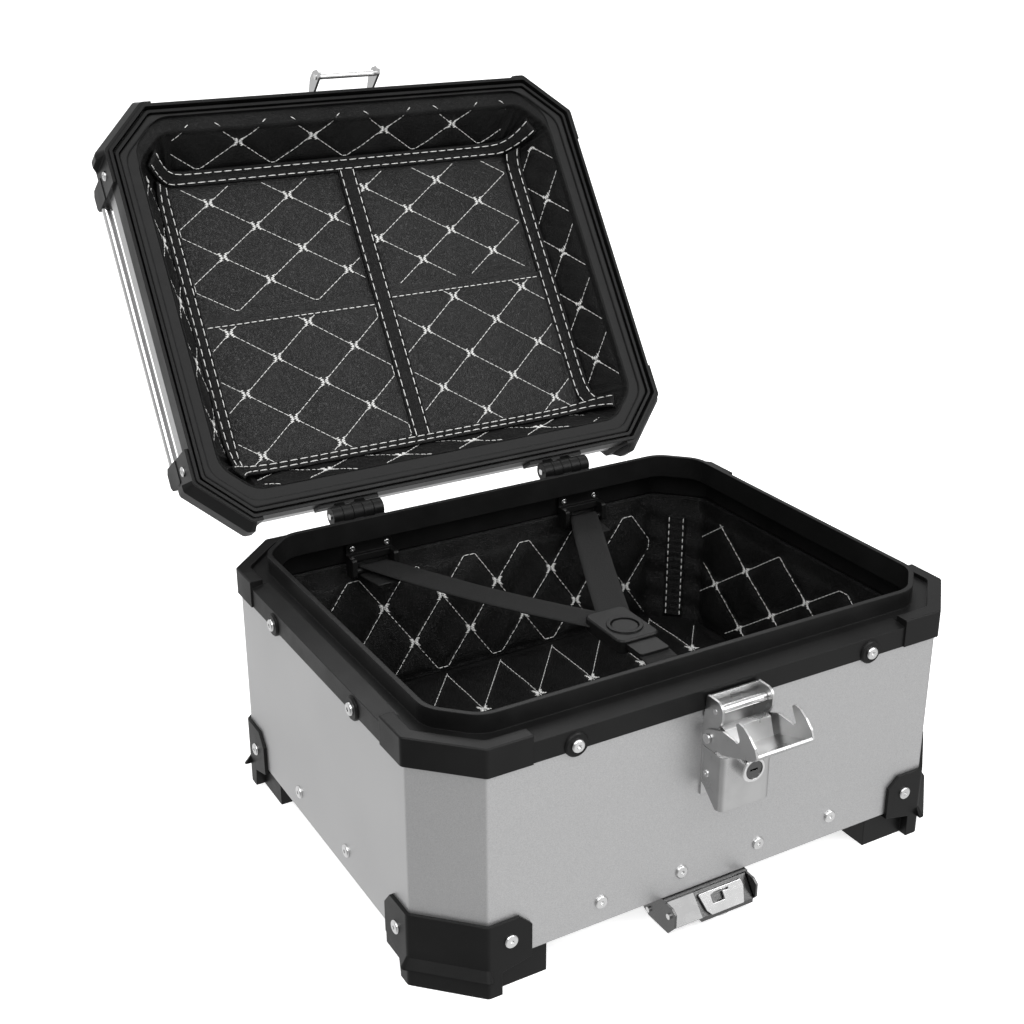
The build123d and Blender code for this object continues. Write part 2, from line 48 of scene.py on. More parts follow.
# ---- sizes that the soft pieces share with the frame ----------------------------------------
box_x, box_y, box_cut = 0.215, 0.1725, 0.0364  # the box's outline: half sizes and corner cut
lid_x, lid_y, lid_cut = 0.2155, 0.176, 0.0369  # the lid's outline, closed
flange_z, panel_z = 0.1736, 0.2136  # lid lining: its rim and its flat face, closed
liner_low, liner_top = 0.0105, 0.1265  # body lining: floor and top edge
liner_in = -0.008  # body lining's face, from the box's outline
ROOT_TWO = 2**0.5
CUT_GROWTH = 2 - ROOT_TWO  # a corner cut grows by this times its outline's offset

joints = {j["name"]: j for j in frame["record"]["behaviour"]["joints"]}
hinge_y, hinge_z = joints["lid_hinge"]["pos_m"][1:]
lid_open = radians(max(joints["lid_hinge"]["range_deg"]))


# ---- shader helpers ----------------------------------------
def grey(tone):
    return (tone, tone, tone)


def new_material(name, color, roughness, metallic=0.0, **sockets):
    material = bpy.data.materials.new(name)
    material.use_nodes = True
    shader = material.node_tree.nodes["Principled BSDF"]
    shader.inputs["Base Color"].default_value = (*color, 1.0)
    shader.inputs["Roughness"].default_value = roughness
    shader.inputs["Metallic"].default_value = metallic
    for key, value in sockets.items():
        shader.inputs[key.replace("_", " ")].default_value = value
    return material


def add(material, kind, **values):
    """New node; values go to its attributes, or to its input sockets where it has no such attribute."""
    node = material.node_tree.nodes.new(kind)
    for key, value in values.items():
        if hasattr(node, key):
            setattr(node, key, value)
        else:
            node.inputs[key.replace("_", " ")].default_value = value
    return node


def link(material, source, target):
    material.node_tree.links.new(source, target)


def object_coords(material, scale=(1.0, 1.0, 1.0)):
    coords = add(material, "ShaderNodeTexCoord")
    mapping = add(material, "ShaderNodeMapping")
    mapping.inputs["Scale"].default_value = scale
    link(material, coords.outputs["Object"], mapping.inputs["Vector"])
    return mapping.outputs["Vector"]


def noise(material, vector, scale, detail=3.0, roughness=0.5):
    node = add(material, "ShaderNodeTexNoise")
    node.inputs["Scale"].default_value = scale
    node.inputs["Detail"].default_value = detail
    node.inputs["Roughness"].default_value = roughness
    link(material, vector, node.inputs["Vector"])
    return node.outputs["Fac"]


def spread(material, value, low, high, from_low=0.3, from_high=0.7):
    """Maps a texture's middle range onto low..high."""
    node = add(material, "ShaderNodeMapRange")
    for key, number in (("From Min", from_low), ("From Max", from_high), ("To Min", low), ("To Max", high)):
        node.inputs[key].default_value = number
    link(material, value, node.inputs["Value"])
    return node.outputs["Result"]


def bump(material, height, distance, strength=1.0, under=None):
    node = add(material, "ShaderNodeBump")
    node.inputs["Strength"].default_value = strength
    node.inputs["Distance"].default_value = distance
    link(material, height, node.inputs["Height"])
    if under:
        link(material, under, node.inputs["Normal"])
    return node.outputs["Normal"]


def soft_edges(material, radius=0.6 * MM):
    """Normals that round off the sharp edges a little, as moulding and deburring do."""
    node = add(material, "ShaderNodeBevel", samples=4)
    node.inputs["Radius"].default_value = radius
    return node.outputs["Normal"]


def shade(material, color=None, roughness=None, normal=None):
    shader = material.node_tree.nodes["Principled BSDF"]
    for key, source in (("Base Color", color), ("Roughness", roughness), ("Normal", normal)):
        if source is not None:
            link(material, source, shader.inputs[key])


def mix(material, factor, first, second):
    node = add(material, "ShaderNodeMix", data_type="RGBA")
    node.inputs["A"].default_value = (*first, 1.0)
    node.inputs["B"].default_value = (*second, 1.0)
    link(material, factor, node.inputs["Factor"])
    return node.outputs["Result"]


# ---- materials ----------------------------------------
def aluminium():
    """Bead-blasted sheet: a fine sandy sparkle, faint cloudiness and a soft sheen."""
    material = new_material("aluminium", grey(0.42), roughness=0.42, metallic=0.9)
    vector = object_coords(material)
    sand = noise(material, vector, scale=2200, detail=2.0, roughness=0.7)
    cloud = noise(material, vector, scale=9, detail=4.0)
    sparkle = spread(material, sand, low=0.0, high=1.0, from_low=0.25, from_high=0.75)
    color = mix(material, sparkle, (0.45, 0.45, 0.455), grey(0.66))
    normal = bump(material, sand, distance=0.00012, strength=0.55, under=soft_edges(material))
    shade(material, color, spread(material, cloud, low=0.38, high=0.48), normal)
    return material


def plastic(name="black_plastic", tone=0.0065, rough=0.38):
    """Moulded polypropylene with a fine spark-eroded grain and a few duller, handled places."""
    material = new_material(name, grey(tone), rough, Specular_IOR_Level=0.19)
    vector = object_coords(material)
    grain = noise(material, vector, scale=1500, detail=2.0, roughness=0.6)
    worn = noise(material, vector, scale=26, detail=5.0, roughness=0.6)
    color = mix(material, spread(material, worn, low=0.0, high=1.0), grey(tone * 0.8), grey(tone * 1.35))
    normal = bump(material, grain, distance=0.00008, strength=0.5, under=soft_edges(material, 0.9 * MM))
    shade(material, color, spread(material, worn, rough - 0.06, rough + 0.08), normal)
    return material


def metal(name, tone, rough, brushed=0.0):
    """Steel or plating; brushed gives long fine lines along X."""
    material = new_material(name, (tone, tone, tone * 0.99), rough, 1.0)
    stretch = 0.04 if brushed else 6.0
    vector = object_coords(material, (stretch, 1.0, 1.0))
    lines = noise(material, vector, scale=1400, detail=3.0, roughness=0.6)
    smudge = noise(material, object_coords(material), scale=60, detail=4.0)
    stained = spread(material, smudge, low=0.0, high=1.0)
    depth, strength = 0.00003 + 0.00005 * brushed, 0.25 + 0.3 * brushed
    shade(
        material,
        mix(material, stained, grey(tone * 0.9), grey(min(1.0, tone * 1.06))),
        spread(material, smudge, low=rough * 0.8, high=rough * 1.3),
        bump(material, lines, depth, strength, under=soft_edges(material, 0.4 * MM)),
    )
    return material


def leatherette(name, tone, rough, shine):
    """Grained synthetic leather: pebbled cells with fine creases between them."""
    material = new_material(name, grey(tone), rough, Specular_IOR_Level=shine)
    vector = object_coords(material)
    cells = add(material, "ShaderNodeTexVoronoi", feature="DISTANCE_TO_EDGE")
    cells.inputs["Scale"].default_value = 760
    link(material, vector, cells.inputs["Vector"])
    pebbles = spread(material, cells.outputs["Distance"], low=0.0, high=1.0, from_low=0.0, from_high=0.35)
    folds = noise(material, vector, scale=240, detail=4.0, roughness=0.65)
    sheen = noise(material, vector, scale=30, detail=3.0)
    folded = bump(material, folds, distance=0.0005, strength=0.35)
    shade(
        material,
        mix(material, spread(material, sheen, low=0.0, high=1.0), grey(tone * 0.75), grey(tone * 1.4)),
        spread(material, sheen, low=rough - 0.05, high=rough + 0.08),
        bump(material, pebbles, distance=0.0004, strength=0.9, under=folded),
    )
    return material


def thread_material():
    """White polyester thread with a fine twist."""
    material = new_material("white_thread", (0.86, 0.86, 0.84), 0.55)
    twist = add(material, "ShaderNodeTexWave", wave_type="BANDS", bands_direction="DIAGONAL")
    twist.inputs["Scale"].default_value = 900
    twist.inputs["Distortion"].default_value = 1.0
    link(material, object_coords(material), twist.inputs["Vector"])
    shade(
        material,
        mix(material, twist.outputs["Fac"], (0.72, 0.72, 0.70), (0.93, 0.93, 0.92)),
        normal=bump(material, twist.outputs["Fac"], distance=0.0001, strength=0.5),
    )
    return material


def webbing_material():
    """Woven polyester: ribs across the strap and fine warp threads along it, on the strap's own UVs."""
    material = new_material("webbing", grey(0.014), 0.62, Specular_IOR_Level=0.35)
    coords = add(material, "ShaderNodeTexCoord")
    ribs = add(material, "ShaderNodeTexWave", wave_type="BANDS", bands_direction="Y", wave_profile="SIN")
    ribs.inputs["Scale"].default_value = 210
    warp = add(material, "ShaderNodeTexWave", wave_type="BANDS", bands_direction="X", wave_profile="SIN")
    warp.inputs["Scale"].default_value = 260
    product = add(material, "ShaderNodeMath", operation="MULTIPLY")
    for wave, socket in ((ribs, 0), (warp, 1)):
        link(material, coords.outputs["UV"], wave.inputs["Vector"])
        link(material, wave.outputs["Fac"], product.inputs[socket])
    shade(
        material,
        mix(material, product.outputs["Value"], grey(0.009), grey(0.03)),
        normal=bump(material, product.outputs["Value"], distance=0.0004, strength=0.8),
    )
    return material


def rubber():
    """Soft matt rubber with a little dust."""
    material = new_material("seal_rubber", grey(0.02), 0.45, Specular_IOR_Level=0.22)
    vector = object_coords(material)
    dust = noise(material, vector, scale=90, detail=5.0, roughness=0.7)
    shade(
        material,
        mix(material, spread(material, dust, low=0.0, high=1.0), grey(0.008), grey(0.018)),
        spread(material, dust, low=0.48, high=0.66),
        bump(material, noise(material, vector, scale=900, detail=2.0), distance=0.00006, strength=0.4),
    )
    return material


ALUMINIUM = aluminium()
PLASTIC = plastic()
GLOSSY_PLASTIC = plastic("buckle_plastic", tone=0.009, rough=0.3)
SATIN_STEEL = metal("satin_steel", tone=0.56, rough=0.3, brushed=1.0)
DARK_STEEL = metal("dark_steel", tone=0.13, rough=0.25, brushed=1.0)
BRIGHT_STEEL = metal("bright_steel", tone=0.74, rough=0.16)
CHROME = metal("chrome", tone=0.82, rough=0.08)
RUBBER = rubber()
LID_LEATHER = leatherette("lid_leatherette", tone=0.009, rough=0.36, shine=0.42)
WALL_LEATHER = leatherette("lid_wall_leatherette", tone=0.007, rough=0.45, shine=0.2)
BODY_LEATHER = leatherette("body_leatherette", tone=0.006, rough=0.4, shine=0.25)
TAPE = leatherette("seam_tape", tone=0.007, rough=0.45, shine=0.22)
BODY_TAPE = leatherette("body_seam_tape", tone=0.006, rough=0.45, shine=0.25)
THREAD = thread_material()
WEBBING = webbing_material()


def finish_nodes():
    """Gives each carried-over CAD node its material."""
    by_prefix = [
        (ALUMINIUM, ("body_shell", "lid_shell")),
        (PLASTIC, ("body_rim", "lid_rim", "corner_protector", "lid_corner", "hinge_leaf", "strap_bracket",
                   "docking_hooks")),
        (GLOSSY_PLASTIC, ("buckle_",)),
        (SATIN_STEEL, ("latch_base", "latch_cover", "latch_lever", "striker_bracket", "bottom_plate")),
        (DARK_STEEL, ("base_latch_bracket", "base_latch_housing", "lock_plug")),
        (BRIGHT_STEEL, ("rim_screws", "body_rivets", "protector_rivets", "cover_screws", "bracket_screws",
                        "lid_screws", "latch_pivots", "base_latch_pins", "hinge_pin", "side_rail",
                        "latch_roller", "striker_bar")),
        (CHROME, ("lock_barrel", "base_latch_plate", "base_latch_knob")),
        (RUBBER, ("lid_seal",)),
    ]
    for name in frame["nodes"]:
        for material, prefixes in by_prefix:
            if name.startswith(prefixes):
                obj = bpy.data.objects[name]
                obj.data.materials.clear()
                obj.data.materials.append(material)


# ---- geometry helpers ----------------------------------------
def opened(point):
    """Where a point of the closed lid lies with the lid open."""
    x, y, z = point
    dy = y - hinge_y
    dz = z - hinge_z
    c, s = cos(lid_open), sin(lid_open)
    return Vector((x, hinge_y + dy * c + dz * s, hinge_z - dy * s + dz * c))


def make(name, verts, faces, material, body):
    mesh = bpy.data.meshes.new(name)
    mesh.from_pydata([tuple(v) for v in verts], [], faces)
    mesh.update()
    mesh.validate()
    mesh.polygons.foreach_set("use_smooth", [True] * len(mesh.polygons))
    mesh.materials.append(material)
    obj = bpy.data.objects.new(name, mesh)
    bpy.context.scene.collection.objects.link(obj)
    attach(obj, body)
    return obj


def grid_faces(rows, columns, closed=False, start=0):
    """Quads of a grid of points, row after row; closed joins the last row to the first."""
    faces = []
    for i in range(rows if closed else rows - 1):
        j = (i + 1) % rows
        for k in range(columns - 1):
            a, b = start + i * columns + k, start + j * columns + k
            faces.append((a, b, b + 1, a + 1))
    return faces


def slab_faces(rows, columns):
    """Faces of a closed slab whose top and bottom are grids of rows by columns points."""
    size = rows * columns
    faces = [tuple(reversed(face)) for face in grid_faces(rows, columns)]
    faces += grid_faces(rows, columns, start=size)
    rim = [i * columns for i in range(rows)] + [(rows - 1) * columns + j for j in range(1, columns)]
    rim += [i * columns + columns - 1 for i in range(rows - 2, -1, -1)] + list(range(columns - 2, 0, -1))
    for a, b in zip(rim, rim[1:] + rim[:1]):
        faces.append((a, b, b + size, a + size))
    return faces


def ring_faces(count, rows):
    """Faces of a closed band: an outer and an inner skin, each count columns round and rows across."""
    size = count * rows
    last = rows - 1
    faces = [tuple(reversed(face)) for face in grid_faces(count, rows, True)]
    faces += grid_faces(count, rows, True, size)
    for index in range(count):
        a, b = index * rows, (index + 1) % count * rows
        faces.append((a, b, b + size, a + size))
        faces.append((b + last, a + last, a + last + size, b + last + size))
    return faces


ARC_STEPS, SIDE_STEPS, CUT_STEPS = 20, 110, 8  # points along an outline's arcs, sides and corner cuts


def loop_of(half_x, half_y, cut, radius):
    """Rounded outline of a box with cut corners, as (point, angle of its normal, side it belongs to)."""
    corners = [(half_x, cut - half_y), (half_x, half_y - cut)]
    corners += [(half_x - cut, half_y), (cut - half_x, half_y)]
    corners += [(-x, -y) for x, y in corners]
    reach = radius * tan(pi / 8)
    points = []
    for index, corner in enumerate(corners):
        here = Vector(corner)
        before = (here - Vector(corners[index - 1])).normalized()
        after = (Vector(corners[(index + 1) % 8]) - here).normalized()
        centre = here - before * reach + Vector((-before.y, before.x)) * radius
        first = atan2(-before.x, before.y)
        for step in range(ARC_STEPS + 1):
            angle = first + pi / 4 * step / ARC_STEPS
            points.append((centre + Vector((cos(angle), sin(angle))) * radius, angle, "corner"))
        run = Vector(corners[(index + 1) % 8]) - here
        straight = index % 2 == 0
        side = ("right", "rear", "left", "front")[index // 2] if straight else "corner"
        steps = SIDE_STEPS if straight else CUT_STEPS
        start = here + after * reach
        for step in range(1, steps):
            points.append((start + after * (run.length - 2 * reach) * step / steps, first + pi / 4, side))
    return points


def lid_loop(offset, radius, ahead=0.0):
    """Outline of the lid's opening, its front half moved ahead."""
    grow = offset * CUT_GROWTH
    loop = loop_of(lid_x + offset, lid_y + offset, lid_cut + grow, radius)
    reach = lid_y + offset - lid_cut - grow
    moved = []
    for point, angle, side in loop:
        shift = ahead * min(1.0, max(0.0, -point.y) / reach)
        moved.append((Vector((point.x, point.y - shift)), angle, side))
    return moved


def box_loop(offset, radius):
    grow = offset * CUT_GROWTH
    return loop_of(box_x + offset, box_y + offset, box_cut + grow, radius)


def smooth_noise(x, y, seed):
    """Soft repeatable undulation between about -1 and 1."""
    return (
        sin(x * 1.7 + seed) * cos(y * 2.3 - seed * 1.3) + 0.6 * sin(x * 4.1 - y * 3.7 + seed * 2.1)
        + 0.35 * cos(x * 9.3 + y * 7.1 - seed)
    ) / 1.95


KNOT_MARGIN = 2.0 * MM  # knots keep this far inside an area's edge
SHORTEST_LINE = 2.5 * MM  # shorter pieces of a line aren't sewn
CUT_OFF = 0.1 * MM  # a line that misses its crossing by more was cut off
TURN_LENGTHS = (1.5 * MM, 10 * MM)  # turns along the edge between two cut lines


class Lattice:
    """Quilting lines over a rectangle: crossings at origin + i * first + j * second, joined along both."""

    def __init__(self, area, origin, first, second):
        self.area = area
        self.origin = Vector(origin)
        self.first = Vector(first)
        self.second = Vector(second)
        self.size = self.first.x * self.second.y - self.first.y * self.second.x

    def steps(self, u, v):
        """A point as multiples of the two steps."""
        d = Vector((u, v)) - self.origin
        return (
            (d.x * self.second.y - d.y * self.second.x) / self.size,
            (self.first.x * d.y - self.first.y * d.x) / self.size,
        )

    def holds(self, u, v, margin=0.0):
        low_u, high_u, low_v, high_v = self.area
        return low_u + margin <= u <= high_u - margin and low_v + margin <= v <= high_v - margin

    def puff(self, u, v, width):
        """0 on a line, rising to 1 away from the lines and falling to 0 at the area's edge."""
        if not self.holds(u, v):
            return 0.0
        i, j = self.steps(u, v)
        near_i = abs(i - round(i)) * abs(self.size) / self.second.length
        near_j = abs(j - round(j)) * abs(self.size) / self.first.length
        low_u, high_u, low_v, high_v = self.area
        edge = min(u - low_u, high_u - u, v - low_v, high_v - v)
        return (1 - exp(-near_i / width)) * (1 - exp(-near_j / width)) * (1 - exp(-edge / width))

    def clip(self, a, b):
        """The stretch of a line inside the area, or None."""
        t0, t1 = 0.0, 1.0
        for axis in (0, 1):
            low, high = self.area[2 * axis], self.area[2 * axis + 1]
            rate = b[axis] - a[axis]
            if abs(rate) < 1e-9:
                if not low <= a[axis] <= high:
                    return None
                continue
            ends = sorted(((low - a[axis]) / rate, (high - a[axis]) / rate))
            t0, t1 = max(t0, ends[0]), min(t1, ends[1])
        return (a.lerp(b, t0), a.lerp(b, t1)) if t1 - t0 > 1e-6 else None

    def stitch(self, stitches, place):
        """Sews the lines and knots; where a line turns back at the area's edge, its ends are joined."""
        corners = [self.steps(u, v) for u in self.area[:2] for v in self.area[2:]]
        rows = range(floor(min(c[0] for c in corners)) - 1, ceil(max(c[0] for c in corners)) + 2)
        columns = range(floor(min(c[1] for c in corners)) - 1, ceil(max(c[1] for c in corners)) + 2)
        turns = {}
        for i in rows:
            for j in columns:
                node = self.origin + self.first * i + self.second * j
                if self.holds(node.x, node.y, KNOT_MARGIN):
                    stitches.knot(place, node.x, node.y)
                for di, dj in ((1, 0), (0, 1)):
                    far = self.origin + self.first * (i + di) + self.second * (j + dj)
                    piece = self.clip(node, far)
                    if not piece:
                        continue
                    if (piece[1] - piece[0]).length > SHORTEST_LINE:
                        stitches.seam(place, *piece)
                    for key, end, spot in (((i, j), node, piece[0]), ((i + di, j + dj), far, piece[1])):
                        if (end - spot).length > CUT_OFF:
                            turns.setdefault(key, []).append(spot)
        for ends in turns.values():
            if len(ends) == 2 and TURN_LENGTHS[0] < (ends[1] - ends[0]).length < TURN_LENGTHS[1]:
                stitches.seam(place, *ends)


def diamonds(area, origin, half_width, half_height):
    """Lattice of upright diamonds."""
    return Lattice(area, origin, (half_width, half_height), (half_width, -half_height))


class Stitches:
    """Collects short threads, each a slim six-sided capsule, into one mesh."""

    profile = ((0.0, 0.35), (0.14, 0.9), (0.5, 1.0), (0.86, 0.9), (1.0, 0.35))
    sides = 6

    def __init__(self):
        self.verts = []
        self.faces = []

    def thread(self, a, b, normal, radius):
        run = b - a
        across = run.cross(normal).normalized()
        up = across.cross(run).normalized()
        start = len(self.verts)
        for t, width in self.profile:
            centre = a + run * t - up * radius * (1 - width)
            for k in range(self.sides):
                angle = 2 * pi * k / self.sides
                self.verts.append(centre + (across * cos(angle) + up * sin(angle)) * radius * width)
        for i in range(len(self.profile) - 1):
            for k in range(self.sides):
                c = start + i * self.sides + k
                d = start + i * self.sides + (k + 1) % self.sides
                self.faces.append((c, d, d + self.sides, c + self.sides))
        self.faces.append(tuple(range(start + self.sides - 1, start - 1, -1)))
        last = start + (len(self.profile) - 1) * self.sides
        self.faces.append(tuple(range(last, last + self.sides)))

    def seam(self, place, start, end, pitch=5.0 * MM, gap=0.6 * MM, radius=0.35 * MM):
        """Row of stitches from start to end in a surface's coordinates; place gives point and normal."""
        a, b = Vector(start), Vector(end)
        count = max(1, round((b - a).length / pitch))
        edge = 0.5 * gap / pitch
        for k in range(count):
            p, normal = place(*a.lerp(b, (k + edge) / count))
            q, _ = place(*a.lerp(b, (k + 1 - edge) / count))
            self.thread(p + normal * radius * 1.4, q + normal * radius * 1.4, normal, radius)

    def knot(self, place, u, v, height=3.4 * MM, radius=0.42 * MM):
        """Embroidered crossing: two bowed satin bands back to back, each of rows of short threads."""
        rows = 9
        waist, bow, reach, slant = 1.7 * MM, 1.7 * MM, 1.5 * MM, 0.5 * MM
        for side in (-1, 1):
            for k in range(rows):
                level = 2 * k / (rows - 1) - 1
                middle = side * (waist + bow * level * level)
                half = reach + 0.3 * MM * cos(2.6 * k)
                tilt = slant * (1 if k % 2 else -1)
                p, normal = place(u + middle - half, v + level * height - tilt)
                q, _ = place(u + middle + half, v + level * height + tilt)
                self.thread(p + normal * radius * 1.5, q + normal * radius * 1.5, normal, radius)

    def along(self, path, pitch=9.0 * MM, gap=2.0 * MM, radius=0.45 * MM):
        """Stitches along a line of (point, normal) pairs."""
        walked = [0.0]
        for (a, _), (b, _) in zip(path, path[1:]):
            walked.append(walked[-1] + (b - a).length)
        count = max(1, round(walked[-1] / pitch))
        edge = 0.5 * gap / pitch
        index = 0
        for k in range(count):
            ends = []
            for mark in ((k + edge) / count, (k + 1 - edge) / count):
                goal = mark * walked[-1]
                while index < len(path) - 2 and walked[index + 1] < goal:
                    index += 1
                part = (goal - walked[index]) / (walked[index + 1] - walked[index])
                ends.append((path[index][0].lerp(path[index + 1][0], part), path[index][1]))
            (p, normal), (q, _) = ends
            self.thread(p + normal * radius * 0.6, q + normal * radius * 0.6, normal, radius)

    def object(self, name, body):
        return make(name, self.verts, self.faces, THREAD, body)


def ribbon(name, sections, material, body):
    """Closed strip from a list of cross-sections, each a closed loop of points."""
    columns = len(sections[0])
    verts = [p for section in sections for p in section]
    faces = []
    count = len(sections)
    for i in range(count - 1):
        for k in range(columns):
            m = (k + 1) % columns
            faces.append((i * columns + k, i * columns + m, (i + 1) * columns + m, (i + 1) * columns + k))
    faces.append(tuple(range(columns - 1, -1, -1)))
    faces.append(tuple(range((count - 1) * columns, count * columns)))
    return make(name, verts, faces, material, body)


# ---- quilted lining of the lid ----------------------------------------
TAPE_HALF = 8.0 * MM  # half width of a seam tape
STITCH_OUT = 6.0 * MM  # a tape's stitch rows, from its middle
PANEL_X, PANEL_Y = 0.1705, 0.131  # half sizes of the flat panel
HEM_Y = 2.0 * MM  # top hem of the two lower pockets
HEM_STEP = 4.5 * MM  # the right pocket's hem lies this much further forward
POCKET = 1.5 * MM  # how far the pockets stand over the panel
PUFF = 1.5 * MM  # depth of the quilting
FRONT_REACH = 12.0 * MM  # width of the lining's skirt over the front flange
SKIRT_Z = 0.1684  # the skirt's face, closed
SKIRT_IN, SKIRT_HEM, SKIRT_THICK = -0.0226, 0.8 * MM, 1.4 * MM
MOUTH_RADIUS, FOLD_LESS = 0.022, 0.007  # corner radius at the flange, and what it loses by the fold
QUILT_WIDTH = 2.4 * MM  # how quickly the panel's quilting rises from a line
PILLOW_BACK = 4 * MM  # the panel pad's flat back, behind its plane
WALL_RIM, WALL_FOLD = -0.0232, -0.0446  # wall lining's offsets at the flange and at the panel
RISE, RUN = panel_z - flange_z, WALL_RIM - WALL_FOLD
SLOPE = hypot(RISE, RUN)

LID_LATTICES = [
    diamonds((-0.160, -0.007, -0.1205, -0.009), (-0.129, -0.106), 0.036, 0.0246),
    diamonds((0.012, 0.161, -0.1205, -0.013), (0.016, -0.106), 0.036, 0.0246),
    diamonds((-0.160, -0.007, 0.0045, 0.125), (-0.142, 0.0105), 0.0353, 0.027),
    diamonds((0.012, 0.161, 0.0, 0.125), (0.0, 0.0065), 0.0353, 0.027),
]
# Wall lattices: u is X or Y along the side, v the way up the slope from the flange.
SIDE_LATTICE = diamonds((-0.128, 0.128, 1.5 * MM, SLOPE - 7.5 * MM), (-0.120, 0.020), 0.0265, 0.024)
FRONT_LATTICE = diamonds((-0.176, 0.180, -5.0 * MM, SLOPE - 8.5 * MM), (-0.099, 0.0125), 0.0339, 0.026)
REAR_LATTICE = diamonds((-0.170, 0.170, 3.0 * MM, SLOPE - 8.5 * MM), (-0.099, 0.018), 0.0339, 0.024)
WALL_LATTICES = {"left": SIDE_LATTICE, "right": SIDE_LATTICE, "front": FRONT_LATTICE, "rear": REAR_LATTICE}


def hem_line(x):
    return HEM_Y - (HEM_STEP if x > 0 else 0.0)


def panel_height(x, y):
    """How far the panel's face stands out of its plane: quilting, pockets and soft creases."""
    height = sum(PUFF * lattice.puff(x, y, QUILT_WIDTH) for lattice in LID_LATTICES)
    over = y - hem_line(x) + 5 * MM
    if over > 0:
        height += POCKET * (1 - exp(-over / (1.2 * MM)))
    return height + 0.45 * MM * smooth_noise(x * 40, y * 40, 1.0)


def panel_place(x, y):
    """Point and outward normal on the lid panel, lid open."""
    point = opened((x, y, panel_z - panel_height(x, y)))
    return point, opened((x, y, panel_z - 1)) - opened((x, y, panel_z))


def lid_panel():
    """Closed pad: the quilted face towards the case and a flat back."""
    step = 1.5 * MM
    nx, ny = int(2 * PANEL_X / step), int(2 * PANEL_Y / step)
    face, back = [], []
    for i in range(nx + 1):
        for j in range(ny + 1):
            x, y = -PANEL_X + 2 * PANEL_X * i / nx, -PANEL_Y + 2 * PANEL_Y * j / ny
            face.append(panel_place(x, y)[0])
            back.append(opened((x, y, panel_z + PILLOW_BACK)))
    faces = slab_faces(nx + 1, ny + 1)
    pad = make("lid_panel_quilt", face + back, faces, LID_LEATHER, "lid")
    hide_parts("lid_panel")


def wall_puff(point, side, v):
    """Quilting and creases of the lid's walls; corners are gathered instead of quilted."""
    if side == "corner":
        turn = atan2(abs(point.y) - lid_y + 0.06, abs(point.x) - lid_x + 0.06)
        fade = 4 * max(0.0, v / SLOPE) * max(0.0, 1 - v / SLOPE)
        return (0.8 + 1.1 * sin(turn * 13 + point.x * 60) * fade + 0.5 * sin(turn * 31)) * MM
    along = point.x if side in ("front", "rear") else point.y
    quilting = 1.2 * PUFF * WALL_LATTICES[side].puff(along, v, 2.6 * MM)
    return quilting + 0.7 * MM * smooth_noise(along * 50, v * 45, 4.0)


def wall_point(flat, angle, v, height):
    """Point of the sloped lining, v up its slope; height is along its normal."""
    x = flat.x - cos(angle) * height * RISE / SLOPE
    y = flat.y - sin(angle) * height * RISE / SLOPE
    return opened((x, y, flange_z + RISE * v / SLOPE - height * RUN / SLOPE))


def side_place(side):
    """Place function of one straight wall of the lid; in front it runs on over the skirt."""
    angle = {"right": 0.0, "rear": pi / 2, "left": pi, "front": -pi / 2}[side]
    out = Vector((cos(angle), sin(angle)))

    def place(u, v):
        reach = (lid_x if side in ("left", "right") else lid_y) + WALL_RIM - RUN * max(v, 0.0) / SLOPE
        along = Vector((u, 0.0)) if side in ("front", "rear") else Vector((0.0, u))
        flat = along + out * reach
        normal = (wall_point(flat, angle, v, 1.0) - wall_point(flat, angle, v, 0.0)).normalized()
        if v < 0:
            flat += out * -v
            point = opened((flat.x, flat.y, SKIRT_Z - wall_puff(flat, side, v) * 0.4))
            return point, opened((0, 0, -1)) - opened((0, 0, 0))
        return wall_point(flat, angle, v, wall_puff(flat, side, v)), normal

    return place


def lid_wall():
    """Closed band: skirt over the front flange, then the quilted slope up to the panel."""
    rings = []
    skirt_rows, rows = 6, 30
    for step in range(skirt_rows):
        part = step / (skirt_rows - 1)
        ring = lid_loop(SKIRT_IN - SKIRT_HEM * part, MOUTH_RADIUS, FRONT_REACH * (1 - part))
        rings.append([
            (opened((p.x, p.y, SKIRT_Z - 0.3 * MM * smooth_noise(p.x * 60, p.y * 60, 2.0))),
             opened((p.x, p.y, SKIRT_Z + SKIRT_THICK)))
            for p, _, _ in ring
        ])
    for row in range(rows):
        v = SLOPE * row / (rows - 1)
        ring = lid_loop(WALL_RIM - RUN * row / (rows - 1), MOUTH_RADIUS - FOLD_LESS * row / (rows - 1))
        rings.append([
            (wall_point(p, angle, v, wall_puff(p, side, v)), wall_point(p, angle, v, -1.3 * MM))
            for p, angle, side in ring
        ])
    count = len(rings[0])
    face = [ring[index][0] for index in range(count) for ring in rings]
    back = [ring[index][1] for index in range(count) for ring in rings]
    faces = ring_faces(count, len(rings))
    wall = make("lid_wall_quilt", face + back, faces, WALL_LEATHER, "lid")
    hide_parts("lid_liner")


def inset(x, y):
    """Distance from the lid's outline inwards, rounded at the corners."""
    diagonal = (lid_x + lid_y - lid_cut - abs(x) - abs(y)) / ROOT_TWO
    sides = (lid_x - abs(x), lid_y - abs(y), diagonal)
    soft = 6 * MM
    return -soft * log(sum(exp(-d / soft) for d in sides))


TAPE_LOW = flange_z - 1.0 * MM  # tapes end clear of the body rim's lip in the closed lid
TAPE_STEP = 2.0 * MM  # between a tape's cross-sections
TAPE_ROUNDING = 14  # passes that round a tape's turns
TAPE_THICK, TAPE_CROWN, TAPE_PUCKER = 2.2 * MM, 0.9 * MM, 0.35 * MM
TAPE_STITCH_LIFT = 0.55 * MM


